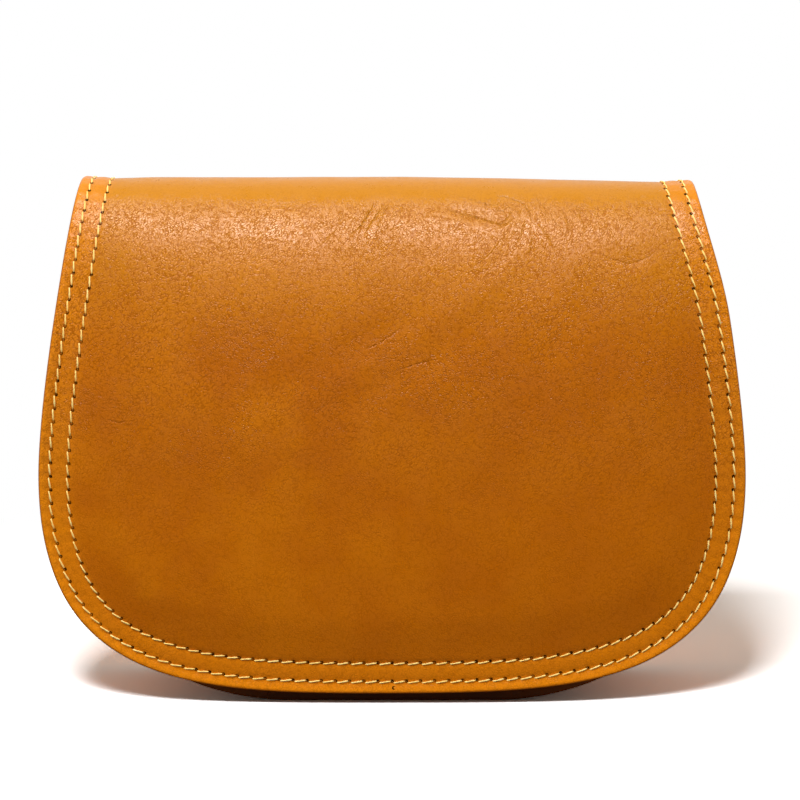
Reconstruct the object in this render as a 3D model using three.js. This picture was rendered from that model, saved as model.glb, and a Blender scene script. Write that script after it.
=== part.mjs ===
// A crossbody bag with a full front flap, closed and standing on its base.
// Millimetres, +Z up, the front faces -Y, and the origin is on the floor below the middle of the bag.
import * as THREE from 'three';

// The flap's height drives the heights of the body's walls
const FLAP_HEIGHT = 175.6;
const FOLD_RISE = 29.6;
const SEAM_DROP = 22.6;
const FRONT_HEIGHT = FLAP_HEIGHT - FOLD_RISE;
const BACK_HEIGHT = FLAP_HEIGHT - SEAM_DROP;

// Driving dimensions of the body
const BODY_WIDTH = 228;
const BODY_WIDEST_HEIGHT = 77;
const BODY_TOP_WIDTH = 206;
const BASE_DEPTH = 62;
const MOUTH_DEPTH = 51;
const FOOT_WIDTH = 70;
const RIM = 8;
const PANEL_THICKNESS = 2;
const FRONT_BULGE = 5;
const BACK_BULGE = 3;
const BULGE_RAMP = 30;
const BELLY_TOP = 0.6;
const MOUTH_BULGE = 0.3;
const GUSSET_THICKNESS = 1.6;
const GUSSET_SAG = 4;
const SAG_AT_BASE = 0.15;
const SAG_FROM = 0.2;

// Driving dimensions of the flap. Lengths along it are measured from its lower edge.
const FLAP_WIDTH = 240;
const FLAP_WIDEST_AT = 73;
const FLAP_FOLD_WIDTH = 214.4;
const FLAP_FOLD_AT = 183;
const FLAP_SEAM_WIDTH = 205.6;
const FLAP_LIFT = 4;
const FLAP_THICKNESS = 2.6;
const FLAP_OVERLAP = 27;
const SEAM_MARGIN = 4;
const PAD_HEIGHT = 1.7;
const PAD_RAMP = 9;
const OUTER_ROW = 4;
const INNER_ROW = 10.2;
const ROW_DRAW = 0.25;
const EDGE_FLARE = 0.9;
const SIDE_CURL = 11;
const CURL_POWER = 5;
const SHOULDER_DROP = 1.3;
const SHOULDER_LEAN = 3.2;
const FOLD_PAD_SHARE = 0.3;
const FOLD_BORDER_LIFT = 0.7;
const HEM_SKEW = 0.45;

// Where these shapes begin and end, as shares of the flap's length, half width or height
const FOLD_SPAN = { from: 0.5, full: 0.66, fades: 0.8, to: 0.95 };
const CURL_SPAN = { full: 0.5, to: 0.74 };
const SHOULDER_ACROSS = { from: 0.2, full: 0.75 };
const SHOULDER_UP = { from: 0.74, full: 1 };
const SKEW_UP = { full: 0.1, to: 0.4 };

// How far the curves of the two outlines are drawn out, as shares of the lengths that they span
const BODY_CURVE = { foot: 0.35, tuck: 0.02, below: 0.18, above: 0.33, mouth: 0.25 };
const FLAP_CURVE = {
  hem: 0.567, below: 0.03, above: 0.23, narrowing: 0.375, fold: 0.364, behind: 0.3, seam: 0.35,
};

// Driving dimensions of the hardware
const CLASP_DIAMETER = 18;
const CLASP_THICKNESS = 3.6;
const CLASP_HEIGHT = 38;
const CLASP_ROOM = 0.6;
const CLASP_GAPS = 1.6;
const TAB_WIDTH = 18;
const TAB_LENGTH = 32;
const TAB_PLY = 1.5;
const TAB_MARGIN = 2;
const BAR_RISE = 1;
const RING_WIRE = 3;
const RING_INNER_WIDTH = 20;
const RING_INNER_HEIGHT = 12;
const CLEARANCE = 0.3;
const BOW_START = Math.PI / 14;

// How finely the curves are divided
const OUTLINE_SAMPLES = 600;
const PROFILE_SAMPLES = 800;
const WEB_SAMPLES = 400;
const SEAT_SAMPLES = 10;
const HEAD_STEPS = 10;
const RING_CORNER_STEPS = 3;
const RING_BOW_STEPS = 12;
const RING_SIDES = 8;
const CLASP_SIDES = 24;

const LEATHER = { color: 0xc8781e, roughness: 0.45, metalness: 0 };
const METAL = { color: 0xb9a06a, roughness: 0.3, metalness: 1 };

const lerp = THREE.MathUtils.lerp;
const smooth = (value, from, to) => THREE.MathUtils.smoothstep(value, from, to);
const point2 = (x, y) => new THREE.Vector2(x, y);
const bezier = (...points) => new THREE.CubicBezierCurve(...points);

// Body planes. The back stands upright, the front leans back to the mouth.
const BACK_Y = BASE_DEPTH / 2;
const frontRimY = (z) => -BACK_Y + (BASE_DEPTH - MOUTH_DEPTH) * (z / FRONT_HEIGHT);

// Right half of the body's outline in the front view, from the middle of the base to the top
function bodyCurves(top) {
  const half = BODY_WIDTH / 2;
  const foot = point2(FOOT_WIDTH / 2, 0);
  const widest = point2(half, BODY_WIDEST_HEIGHT);
  const reach = half - foot.x;
  const rise = top - BODY_WIDEST_HEIGHT;
  const slope = (half - BODY_TOP_WIDTH / 2) / (FRONT_HEIGHT - BODY_WIDEST_HEIGHT);
  const end = point2(half - slope * rise, top);
  return [
    new THREE.LineCurve(point2(0, 0), foot),
    bezier(
      foot,
      point2(foot.x + BODY_CURVE.foot * reach, 0),
      point2(half - BODY_CURVE.tuck * reach, BODY_CURVE.below * BODY_WIDEST_HEIGHT),
      widest,
    ),
    bezier(
      widest,
      point2(half, BODY_WIDEST_HEIGHT + BODY_CURVE.above * rise),
      point2(end.x + BODY_CURVE.mouth * slope * rise, top - BODY_CURVE.mouth * rise),
      end,
    ),
  ];
}

// Right half of the flap's cut outline laid flat, from the middle of its lower edge to its seam
function flapCurves(length) {
  const half = FLAP_WIDTH / 2;
  const fold = FLAP_FOLD_WIDTH / 2;
  const seam = FLAP_SEAM_WIDTH / 2;
  const side = FLAP_FOLD_AT - FLAP_WIDEST_AT;
  const behind = length - FLAP_FOLD_AT;
  return [
    bezier(
      point2(0, 0),
      point2(FLAP_CURVE.hem * half, 0),
      point2(half, FLAP_CURVE.below * FLAP_WIDEST_AT),
      point2(half, FLAP_WIDEST_AT),
    ),
    bezier(
      point2(half, FLAP_WIDEST_AT),
      point2(half, FLAP_WIDEST_AT + FLAP_CURVE.above * side),
      point2(lerp(fold, half, FLAP_CURVE.narrowing), FLAP_FOLD_AT - FLAP_CURVE.fold * side),
      point2(fold, FLAP_FOLD_AT),
    ),
    bezier(
      point2(fold, FLAP_FOLD_AT),
      point2((fold + seam) / 2, FLAP_FOLD_AT + FLAP_CURVE.behind * behind),
      point2(seam, length - FLAP_CURVE.seam * behind),
      point2(seam, length),
    ),
  ];
}

// Evenly spaced outline points from the left end, round the bottom, to the right end, each with its way in.
// The corner is where the outline runs at 45 degrees.
function outlineOf(curves, bottomSteps, sideSteps) {
  const path = new THREE.CurvePath();
  curves.forEach((curve) => path.add(curve));
  const samples = path.getSpacedPoints(OUTLINE_SAMPLES);
  const corner = samples.findIndex(
    (p, i) => i > 0 && p.y - samples[i - 1].y > p.x - samples[i - 1].x,
  );
  const at = (i) => samples[Math.min(OUTLINE_SAMPLES, Math.round(i))];
  const half = [];
  for (let i = 0; i <= bottomSteps; i++) {
    half.push(at((corner * i) / bottomSteps));
  }
  for (let i = 1; i <= sideSteps; i++) {
    half.push(at(lerp(corner, OUTLINE_SAMPLES, i / sideSteps)));
  }
  const right = half.map((p, i) => {
    const before = half[Math.max(0, i - 1)];
    const after = half[Math.min(half.length - 1, i + 1)];
    const along = i === 0 ? point2(1, 0) : after.clone().sub(before).normalize();
    const inward = i === half.length - 1 ? point2(-1, 0) : point2(-along.y, along.x);
    return { at: p, inward };
  });
  const left = right.slice(1).reverse().map(({ at: p, inward }) => ({
    at: point2(-p.x, p.y),
    inward: point2(-inward.x, inward.y),
  }));
  return [...left, ...right];
}

const insetPoint = ({ at, inward }, distance) => at.clone().addScaledVector(inward, distance);

// A mesh of the area inside an outline: one ring of points for each inset, then a Coons patch in the middle.
// Each point keeps its distance from the outline.
function panelGrid(outline, insets, bottomSteps, sideSteps) {
  const across = 2 * bottomSteps;
  const rings = insets.map((inset) => outline.map((p) => insetPoint(p, inset)));
  const last = rings.length - 1;
  const size = outline.length;
  const points = rings.flatMap((ring, r) => ring.map((p) => ({ x: p.x, s: p.y, d: insets[r] })));
  const inner = rings[last];
  const leftSide = (j) => inner[sideSteps - j];
  const bottom = (i) => inner[sideSteps + i];
  const rightSide = (j) => inner[sideSteps + across + j];
  const topLeft = leftSide(sideSteps);
  const topRight = rightSide(sideSteps);
  const gap = (x, s) => Math.min(...outline.map(({ at }) => Math.hypot(at.x - x, at.y - s)));
  const patch = [];
  for (let j = 0; j <= sideSteps; j++) {
    patch.push([]);
    for (let i = 0; i <= across; i++) {
      if (j === 0) {
        patch[j].push(last * size + sideSteps + i);
      } else if (i === 0) {
        patch[j].push(last * size + sideSteps - j);
      } else if (i === across) {
        patch[j].push(last * size + sideSteps + across + j);
      } else {
        const u = i / across;
        const v = j / sideSteps;
        const top = topLeft.clone().lerp(topRight, u);
        const coons = (axis) =>
          (1 - v) * bottom(i)[axis] + v * top[axis] +
          (1 - u) * leftSide(j)[axis] + u * rightSide(j)[axis] -
          (1 - u) * (1 - v) * bottom(0)[axis] - u * (1 - v) * bottom(across)[axis] -
          (1 - u) * v * topLeft[axis] - u * v * topRight[axis];
        const x = coons('x');
        const s = coons('y');
        patch[j].push(points.length);
        points.push({ x, s, d: Math.max(insets[last], gap(x, s)) });
      }
    }
  }
  const triangles = [];
  const quad = (a, b, c, e) => triangles.push([a, b, c], [a, c, e]);
  for (let r = 0; r < last; r++) {
    for (let k = 0; k < size - 1; k++) {
      quad(r * size + k, r * size + k + 1, (r + 1) * size + k + 1, (r + 1) * size + k);
    }
  }
  for (let j = 0; j < sideSteps; j++) {
    for (let i = 0; i < across; i++) {
      quad(patch[j][i], patch[j][i + 1], patch[j + 1][i + 1], patch[j + 1][i]);
    }
  }
  const loop = [
    ...outline.map((_, k) => k),
    ...insets.slice(1).map((_, r) => (r + 1) * size + size - 1),
    ...patch[sideSteps].slice(1, -1).reverse(),
    ...insets.slice(1).map((_, r) => (r + 1) * size).reverse(),
  ];
  return { points, triangles, loop };
}

function geometryOf(positions, triangles) {
  const geometry = new THREE.BufferGeometry();
  geometry.setAttribute('position', new THREE.Float32BufferAttribute(positions.flat(), 3));
  geometry.setIndex(triangles.flat());
  geometry.computeVertexNormals();
  return geometry;
}

// A closed sheet between two surfaces over the same grid. The grid runs anticlockwise seen from outside.
function sheetGeometry(grid, outer, inner) {
  const count = grid.points.length;
  const positions = [...grid.points.map(outer), ...grid.points.map(inner)];
  const front = grid.triangles;
  const back = grid.triangles.map(([a, b, c]) => [a + count, c + count, b + count]);
  const edge = grid.loop.flatMap((a, i) => {
    const b = grid.loop[(i + 1) % grid.loop.length];
    return [[a, a + count, b + count], [a, b + count, b]];
  });
  return geometryOf(positions, [...front, ...back, ...edge]);
}

// A solid swept through a list of sections, each a closed list of points in the same order
function sweepGeometry(sections, closed, capTriangles) {
  const size = sections[0].length;
  const count = sections.length;
  const triangles = [];
  const turns = closed ? count : count - 1;
  for (let i = 0; i < turns; i++) {
    const here = i * size;
    const next = ((i + 1) % count) * size;
    for (let k = 0; k < size; k++) {
      const l = (k + 1) % size;
      triangles.push([here + k, here + l, next + l], [here + k, next + l, next + k]);
    }
  }
  if (!closed) {
    const end = (count - 1) * size;
    capTriangles.forEach(([a, b, c]) => {
      triangles.push([c, b, a], [end + a, end + b, end + c]);
    });
  }
  return geometryOf(sections.flat(), triangles);
}

// How far the front wall stands out of its rim plane: full in the belly, little at the mouth
function frontBulge(z, d) {
  const fade = lerp(1, MOUTH_BULGE, smooth(z, BELLY_TOP * FRONT_HEIGHT, FRONT_HEIGHT));
  return FRONT_BULGE * fade * smooth(d, RIM, RIM + BULGE_RAMP);
}

// The back wall is flat where the flap is sewn to it
function backBulge(z, d) {
  const flatFrom = BACK_HEIGHT - FLAP_OVERLAP - RIM;
  const swell = z < flatFrom ? Math.sin((Math.PI * z) / flatFrom) : 0;
  return BACK_BULGE * swell * smooth(d, RIM, RIM + BULGE_RAMP);
}

const PANEL_BOTTOM_STEPS = 7;
const PANEL_SIDE_STEPS = 11;
const PANEL_INSETS = [0, RIM / 2, RIM, 1.9 * RIM];

function panelGeometry(top, surface, inwardY) {
  const outline = outlineOf(bodyCurves(top), PANEL_BOTTOM_STEPS, PANEL_SIDE_STEPS);
  const grid = panelGrid(outline, PANEL_INSETS, PANEL_BOTTOM_STEPS, PANEL_SIDE_STEPS);
  const outer = ({ x, s, d }) => [x, surface(s, d), s];
  const inner = ({ x, s, d }) => [x, surface(s, d) + inwardY * PANEL_THICKNESS, s];
  return sheetGeometry(grid, inwardY > 0 ? outer : inner, inwardY > 0 ? inner : outer);
}

const frontPanelY = (z, d) => frontRimY(z) - frontBulge(z, d);
const backPanelY = (z, d) => BACK_Y + backBulge(z, d);

// Side view of the flap's outer face: from the lower edge, up the belly, over the top and down to the seam.
// Reaches are shares of the belly's reach in front and of the seam's behind. Heights are shares of the flap's.
const BELLY_REACH =
  -frontPanelY(CLASP_HEIGHT, RIM + BULGE_RAMP) + CLASP_THICKNESS + 3 * CLEARANCE + FLAP_THICKNESS;
const SEAM_REACH = BACK_Y + CLEARANCE + FLAP_THICKNESS;
const FLAP_PROFILE = [
  { reach: -0.957, height: FLAP_LIFT / FLAP_HEIGHT },
  { reach: -0.985, height: 0.112 },
  { reach: -1, height: CLASP_HEIGHT / FLAP_HEIGHT },
  { reach: -0.998, height: 0.364 },
  { reach: -0.97, height: 0.515 },
  { reach: -0.9, height: 0.661 },
  { reach: -0.785, height: 0.784 },
  { reach: -0.615, height: 0.88 },
  { reach: -0.39, height: 0.947 },
  { reach: -0.105, height: 0.99 },
  { reach: 0.21, height: 1 },
  { reach: 0.6, height: 0.981 },
  { reach: 0.885, height: 0.942 },
  { reach: 1, height: (BACK_HEIGHT + SEAM_MARGIN) / FLAP_HEIGHT },
  { reach: 1, height: (BACK_HEIGHT - FLAP_OVERLAP / 2) / FLAP_HEIGHT },
  { reach: 1, height: (BACK_HEIGHT - FLAP_OVERLAP) / FLAP_HEIGHT },
];
const flapProfile = new THREE.SplineCurve(
  FLAP_PROFILE.map(({ reach, height }) =>
    point2(reach * (reach < 0 ? BELLY_REACH : SEAM_REACH), height * FLAP_HEIGHT),
  ),
);
flapProfile.arcLengthDivisions = PROFILE_SAMPLES;
const FLAP_LENGTH = flapProfile.getLength();

// How strongly the flap's sides turn in towards the body: on the front only
function sideCurl(x, s) {
  const front = 1 - smooth(s / FLAP_LENGTH, CURL_SPAN.full, CURL_SPAN.to);
  return SIDE_CURL * front * Math.pow(Math.abs(x) / (FLAP_WIDTH / 2), CURL_POWER);
}

// Relief of the sewn border: the edge flares out, the two stitch rows draw in, and the pad rises behind them.
// Over the fold the pad is pressed flatter and the border stands level with it.
function borderRelief(s, d) {
  const share = s / FLAP_LENGTH;
  const fold =
    smooth(share, FOLD_SPAN.from, FOLD_SPAN.full) * (1 - smooth(share, FOLD_SPAN.fades, FOLD_SPAN.to));
  const pad = PAD_HEIGHT * lerp(1, FOLD_PAD_SHARE, fold) * smooth(d, INNER_ROW, INNER_ROW + PAD_RAMP);
  const flare = EDGE_FLARE * (1 - smooth(d, 0, OUTER_ROW));
  const draw = ROW_DRAW * PAD_HEIGHT * (1 - smooth(Math.abs(d - INNER_ROW), 0, OUTER_ROW / 2));
  const lift = FOLD_BORDER_LIFT * fold * (1 - smooth(d, OUTER_ROW, INNER_ROW));
  return pad + flare + lift - draw;
}

// The fold stands a little lower and further in over the right shoulder: 0 away from it, 1 on it
function shoulder(x, z) {
  const across = smooth(x / (FLAP_WIDTH / 2), SHOULDER_ACROSS.from, SHOULDER_ACROSS.full);
  return across * smooth(z / FLAP_HEIGHT, SHOULDER_UP.from, SHOULDER_UP.full);
}

function flapPoint({ x, s }, height) {
  const share = THREE.MathUtils.clamp(s / FLAP_LENGTH, 0, 1);
  const p = flapProfile.getPointAt(share);
  const t = flapProfile.getTangentAt(share);
  const out = height - sideCurl(x, s);
  const z = p.y + t.x * out;
  const slump = shoulder(x, z);
  const skew =
    HEM_SKEW * (x / (FLAP_WIDTH / 2)) * (1 - smooth(z / FLAP_HEIGHT, SKEW_UP.full, SKEW_UP.to));
  return [x - SHOULDER_LEAN * slump, p.x - t.y * out, z + skew - SHOULDER_DROP * slump];
}

const FLAP_BOTTOM_STEPS = 9;
const FLAP_SIDE_STEPS = 28;
const FLAP_INSETS = [
  0, OUTER_ROW, (OUTER_ROW + INNER_ROW) / 2, INNER_ROW, INNER_ROW + OUTER_ROW, INNER_ROW + PAD_RAMP,
];

function flapGeometry() {
  const outline = outlineOf(flapCurves(FLAP_LENGTH), FLAP_BOTTOM_STEPS, FLAP_SIDE_STEPS);
  const grid = panelGrid(outline, FLAP_INSETS, FLAP_BOTTOM_STEPS, FLAP_SIDE_STEPS);
  const outer = (point) => flapPoint(point, borderRelief(point.s, point.d));
  const inner = (point) => flapPoint(point, -FLAP_THICKNESS);
  return sheetGeometry(grid, outer, inner);
}

// The line that the gusset's web follows, inside the rims
const GUSSET_BOTTOM_STEPS = 9;
const GUSSET_SIDE_STEPS = 13;
const gussetPath = outlineOf(bodyCurves(FRONT_HEIGHT), GUSSET_BOTTOM_STEPS, GUSSET_SIDE_STEPS);
const mouthMiddleY = (z) => (frontRimY(z) + BACK_Y) / 2;
const gussetSag = (z) => GUSSET_SAG * lerp(SAG_AT_BASE, 1, smooth(z, SAG_FROM * FRONT_HEIGHT, FRONT_HEIGHT));

// One cross-section of the gusset: a web with two flanges turned outwards against the rims
function gussetSection(edge) {
  const flat = TAB_WIDTH / 2 + TAB_MARGIN;
  const at = (inset, side, depth) => {
    const p = insetPoint(edge, inset);
    const front = frontRimY(p.y) + PANEL_THICKNESS + CLEARANCE + depth;
    const back = BACK_Y - PANEL_THICKNESS - CLEARANCE - depth;
    return [p.x, side < 0 ? front : back, p.y];
  };
  const middle = (side, depth) => {
    const z = insetPoint(edge, RIM).y;
    const p = insetPoint(edge, RIM + gussetSag(z) + depth);
    return [p.x, mouthMiddleY(z) + side * flat, p.y];
  };
  const t = GUSSET_THICKNESS;
  return [
    at(0, -1, t), at(RIM, -1, t), middle(-1, 0), middle(1, 0), at(RIM, 1, t), at(0, 1, t),
    at(0, 1, 0), at(RIM + t, 1, 0), middle(1, t), middle(-1, t), at(RIM + t, -1, 0), at(0, -1, 0),
  ];
}

function gussetGeometry() {
  const sections = gussetPath.map(gussetSection);
  const last = sections[0].length - 1;
  const caps = Array.from({ length: (last - 1) / 2 }, (_, i) => [
    [i, i + 1, last - i - 1],
    [i, last - i - 1, last - i],
  ]).flat();
  return sweepGeometry(sections, false, caps);
}

// Where a strap tab sits: on the outside of the web, in line with it below the mouth
function tabSeat() {
  const web = gussetPath.slice(gussetPath.length - GUSSET_SIDE_STEPS - 1).map((edge) => {
    const z = insetPoint(edge, RIM).y;
    return insetPoint(edge, RIM + gussetSag(z));
  });
  const surface = new THREE.SplineCurve(web);
  const onSurface = (z) => {
    const points = surface.getSpacedPoints(WEB_SAMPLES);
    return points.reduce((a, b) => (Math.abs(b.y - z) < Math.abs(a.y - z) ? b : a));
  };
  const mouth = web[web.length - 1].y;
  const top = onSurface(mouth);
  const low = onSurface(mouth - TAB_LENGTH);
  const along = top.clone().sub(low).normalize();
  const outward = point2(along.y, -along.x);
  let proud = 0;
  for (let i = 0; i <= SEAT_SAMPLES; i++) {
    const p = onSurface(lerp(mouth - TAB_LENGTH, mouth, i / SEAT_SAMPLES)).clone().sub(low);
    proud = Math.max(proud, p.dot(outward));
  }
  return { top, outward, lean: Math.atan2(along.x, along.y), stand: proud + CLEARANCE };
}

// A folded tab: a two-ply leg with a round head that holds the ring's bar. Its inner face lies at x = 0.
function tabGeometry() {
  const bore = RING_WIRE / 2 + CLEARANCE;
  const head = bore + TAB_PLY;
  const leg = 2 * TAB_PLY;
  const centre = head + BAR_RISE;
  const half = Math.asin(THREE.MathUtils.clamp((leg - head) / head, -1, 1));
  const shape = new THREE.Shape();
  shape.moveTo(0, -TAB_LENGTH);
  shape.lineTo(leg, -TAB_LENGTH);
  shape.lineTo(leg, centre - head * Math.cos(half));
  shape.absarc(head, centre, head, half - Math.PI / 2, Math.PI, false);
  const hole = new THREE.Path();
  hole.absarc(head, centre, bore, 0, 2 * Math.PI, true);
  shape.holes.push(hole);
  const geometry = new THREE.ExtrudeGeometry(shape, {
    depth: TAB_WIDTH,
    bevelEnabled: false,
    curveSegments: HEAD_STEPS,
  });
  return geometry.translate(0, 0, -TAB_WIDTH / 2).rotateX(Math.PI / 2);
}

// The D-ring's centreline in its own plane: a straight bar at the origin and a round bow above it
function ringPath() {
  const half = (RING_INNER_WIDTH + RING_WIRE) / 2;
  const rise = RING_INNER_HEIGHT + RING_WIRE;
  const corner = RING_WIRE;
  const path = [];
  const arc = (cx, cz, radiusX, radiusZ, from, to, steps) => {
    for (let i = 0; i <= steps; i++) {
      const a = lerp(from, to, i / steps);
      path.push(point2(cx + radiusX * Math.cos(a), cz + radiusZ * Math.sin(a)));
    }
  };
  arc(half - corner, corner, corner, corner, -Math.PI / 2, 0, RING_CORNER_STEPS);
  arc(0, corner, half, rise - corner, BOW_START, Math.PI - BOW_START, RING_BOW_STEPS);
  arc(-half + corner, corner, corner, corner, -Math.PI, -Math.PI / 2, RING_CORNER_STEPS);
  return path;
}

function ringGeometry() {
  const path = ringPath();
  const sections = path.map((p, i) => {
    const before = path[(i + path.length - 1) % path.length];
    const after = path[(i + 1) % path.length];
    const along = after.clone().sub(before).normalize();
    return Array.from({ length: RING_SIDES }, (_, k) => {
      const a = (2 * Math.PI * k) / RING_SIDES;
      const out = (RING_WIRE / 2) * Math.cos(a);
      const side = (-RING_WIRE / 2) * Math.sin(a);
      return [side, p.x + along.y * out, p.y - along.x * out];
    });
  });
  return sweepGeometry(sections, true, []);
}

// The clasp fills the space between the front wall and the flap, square to the wall
function claspMesh() {
  const low = CLASP_HEIGHT - CLASP_DIAMETER / 2;
  const high = CLASP_HEIGHT + CLASP_DIAMETER / 2;
  const lean = Math.atan2(frontRimY(high) - frontRimY(low), high - low);
  const geometry = new THREE.CylinderGeometry(
    CLASP_DIAMETER / 2,
    CLASP_DIAMETER / 2,
    CLASP_THICKNESS - CLASP_ROOM,
    CLASP_SIDES,
  );
  const mesh = named('clasp', geometry, METAL);
  const seat = frontPanelY(CLASP_HEIGHT, RIM + BULGE_RAMP);
  mesh.position.set(0, seat - CLASP_GAPS * CLEARANCE - CLASP_THICKNESS / 2, CLASP_HEIGHT);
  mesh.rotation.x = -lean / 2;
  return mesh;
}

function named(name, geometry, finish) {
  const mesh = new THREE.Mesh(geometry, new THREE.MeshStandardMaterial(finish));
  mesh.name = name;
  return mesh;
}

// One side's tab and ring, as a group set against the gusset
function strapAnchor(side, suffix) {
  const seat = tabSeat();
  const group = new THREE.Group();
  const tab = named(`strap_tab_${suffix}`, tabGeometry(), LEATHER);
  const ring = named(`strap_ring_${suffix}`, ringGeometry(), METAL);
  const head = RING_WIRE / 2 + CLEARANCE + TAB_PLY;
  ring.position.set(head, 0, head + BAR_RISE);
  group.add(tab, ring);
  group.rotation.y = seat.lean;
  group.position.set(
    seat.top.x + seat.outward.x * seat.stand,
    mouthMiddleY(FRONT_HEIGHT),
    seat.top.y + seat.outward.y * seat.stand,
  );
  const holder = new THREE.Group();
  holder.add(group);
  if (side < 0) {
    holder.rotation.z = Math.PI;
    holder.position.y = 2 * mouthMiddleY(FRONT_HEIGHT);
  }
  return holder;
}

const body = new THREE.Group();
body.add(
  named('flap', flapGeometry(), LEATHER),
  named('front_panel', panelGeometry(FRONT_HEIGHT, frontPanelY, 1), LEATHER),
  named('back_panel', panelGeometry(BACK_HEIGHT, backPanelY, -1), LEATHER),
  named('gusset', gussetGeometry(), LEATHER),
  claspMesh(),
  strapAnchor(1, 'right'),
  strapAnchor(-1, 'left'),
);

// The origin lies below the middle of the bag's depth
const box = new THREE.Box3().setFromObject(body);
body.position.y = -(box.min.y + box.max.y) / 2;
const bag = new THREE.Group();
bag.add(body);

export default bag;
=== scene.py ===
"""A tan leather crossbody bag with a full front flap: its looks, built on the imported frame."""
import math

import bpy
import numpy as np
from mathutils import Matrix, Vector, noise


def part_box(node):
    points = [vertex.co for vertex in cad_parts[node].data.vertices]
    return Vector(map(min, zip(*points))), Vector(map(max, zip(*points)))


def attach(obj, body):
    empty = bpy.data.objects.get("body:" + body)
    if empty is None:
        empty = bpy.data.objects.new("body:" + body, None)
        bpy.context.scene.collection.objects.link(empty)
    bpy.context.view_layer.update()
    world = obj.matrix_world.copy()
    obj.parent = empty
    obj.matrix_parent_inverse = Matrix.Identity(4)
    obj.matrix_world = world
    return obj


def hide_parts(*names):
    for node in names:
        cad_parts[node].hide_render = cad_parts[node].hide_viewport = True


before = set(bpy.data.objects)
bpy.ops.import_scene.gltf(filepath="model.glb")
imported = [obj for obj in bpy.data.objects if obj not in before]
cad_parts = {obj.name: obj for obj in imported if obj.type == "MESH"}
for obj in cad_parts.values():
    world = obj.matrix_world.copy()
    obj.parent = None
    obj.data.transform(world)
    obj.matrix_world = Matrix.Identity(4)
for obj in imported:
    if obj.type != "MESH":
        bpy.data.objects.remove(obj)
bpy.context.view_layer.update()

MM = 0.001

# The named sizes of the frame, in millimetres
BODY_WIDTH, BODY_WIDEST_HEIGHT, BODY_TOP_WIDTH = 228, 77, 206
FRONT_HEIGHT, BACK_HEIGHT = 146, 153
BASE_DEPTH, MOUTH_DEPTH, FOOT_WIDTH = 62, 51, 70
RIM, PANEL_THICKNESS, FRONT_BULGE, BACK_BULGE = 8, 2, 5, 3
GUSSET_THICKNESS, GUSSET_SAG = 1.6, 4
FLAP_WIDTH, FLAP_WIDEST_AT, FLAP_FOLD_WIDTH, FLAP_FOLD_AT, FLAP_SEAM_WIDTH = 240, 73, 214.4, 183, 205.6
FLAP_HEIGHT, FLAP_LIFT, FLAP_THICKNESS, FLAP_OVERLAP, SEAM_MARGIN = 175.6, 4, 2.6, 27, 4
PAD_HEIGHT, OUTER_ROW, INNER_ROW, SIDE_CURL = 1.7, 4, 10.2, 11
SHOULDER_DROP, SHOULDER_LEAN, FOLD_PAD_SHARE, FOLD_BORDER_LIFT, HEM_SKEW = 1.3, 3.2, 0.3, 0.7, 0.45
CLASP_THICKNESS, CLASP_HEIGHT = 3.6, 38
TAB_WIDTH, TAB_LENGTH, TAB_PLY = 18, 32, 1.5
RING_WIRE, RING_INNER_WIDTH, RING_INNER_HEIGHT, CLEARANCE = 3, 20, 12, 0.3
# How the solids spread their forms: ramps in millimetres, spans as shares of a length or height
BULGE_RAMP, BELLY_TOP, MOUTH_BULGE = 30, 0.6, 0.3
CURL_POWER, CURL_SPAN, FOLD_SPAN = 5, (0.5, 0.74), (0.5, 0.66, 0.8, 0.95)
SHOULDER_ACROSS, SHOULDER_UP, SKEW_UP = (0.2, 0.75), (0.74, 1), (0.1, 0.4)

STITCH_LENGTH = 4.8
THREAD = 0.57
WALL_ROW, ROW_WIDTH, WALL_ROW_DEPTH = 4, 0.9, 0.28
BACK_Y = BASE_DEPTH / 2
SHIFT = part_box("back_panel")[0][1] / MM - (BACK_Y - PANEL_THICKNESS)


def smooth(value, low, high):
    t = np.clip((np.asarray(value, float) - low) / (high - low), 0, 1)
    return t * t * (3 - 2 * t)


def lerp(a, b, t):
    return a + (b - a) * t


def bump(value, centre, width):
    return np.exp(-(((np.asarray(value, float) - centre) / width) ** 2))


def fillet(distance, radius):
    """How far a rounded edge falls away at a distance in from it."""
    k = np.clip(1 - np.asarray(distance, float) / radius, 0, 1)
    return radius * (1 - np.sqrt(1 - k * k))


# Outlines, read by the length along them

def bezier(p0, p1, p2, p3, count=400):
    t = np.linspace(0, 1, count)[:, None]
    p0, p1, p2, p3 = (np.array(p, float) for p in (p0, p1, p2, p3))
    return p0 * (1 - t) ** 3 + 3 * p1 * (1 - t) ** 2 * t + 3 * p2 * (1 - t) * t**2 + p3 * t**3


class Path:
    """A dense polyline that answers where it is, and which way it goes, at a length along it."""

    def __init__(self, *curves):
        points = [curves[0]] + [c[1:] for c in curves[1:]]
        self.points = np.concatenate(points)
        steps = np.linalg.norm(np.diff(self.points, axis=0), axis=1)
        self.lengths = np.concatenate([[0], np.cumsum(steps)])
        self.length = self.lengths[-1]

    def at(self, lengths):
        return np.stack([np.interp(lengths, self.lengths, c) for c in self.points.T], -1)

    def along(self, lengths, delta=0.25):
        step = self.at(np.minimum(np.asarray(lengths) + delta, self.length)) - self.at(
            np.maximum(np.asarray(lengths) - delta, 0)
        )
        return step / np.linalg.norm(step, axis=-1, keepdims=True)


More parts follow.
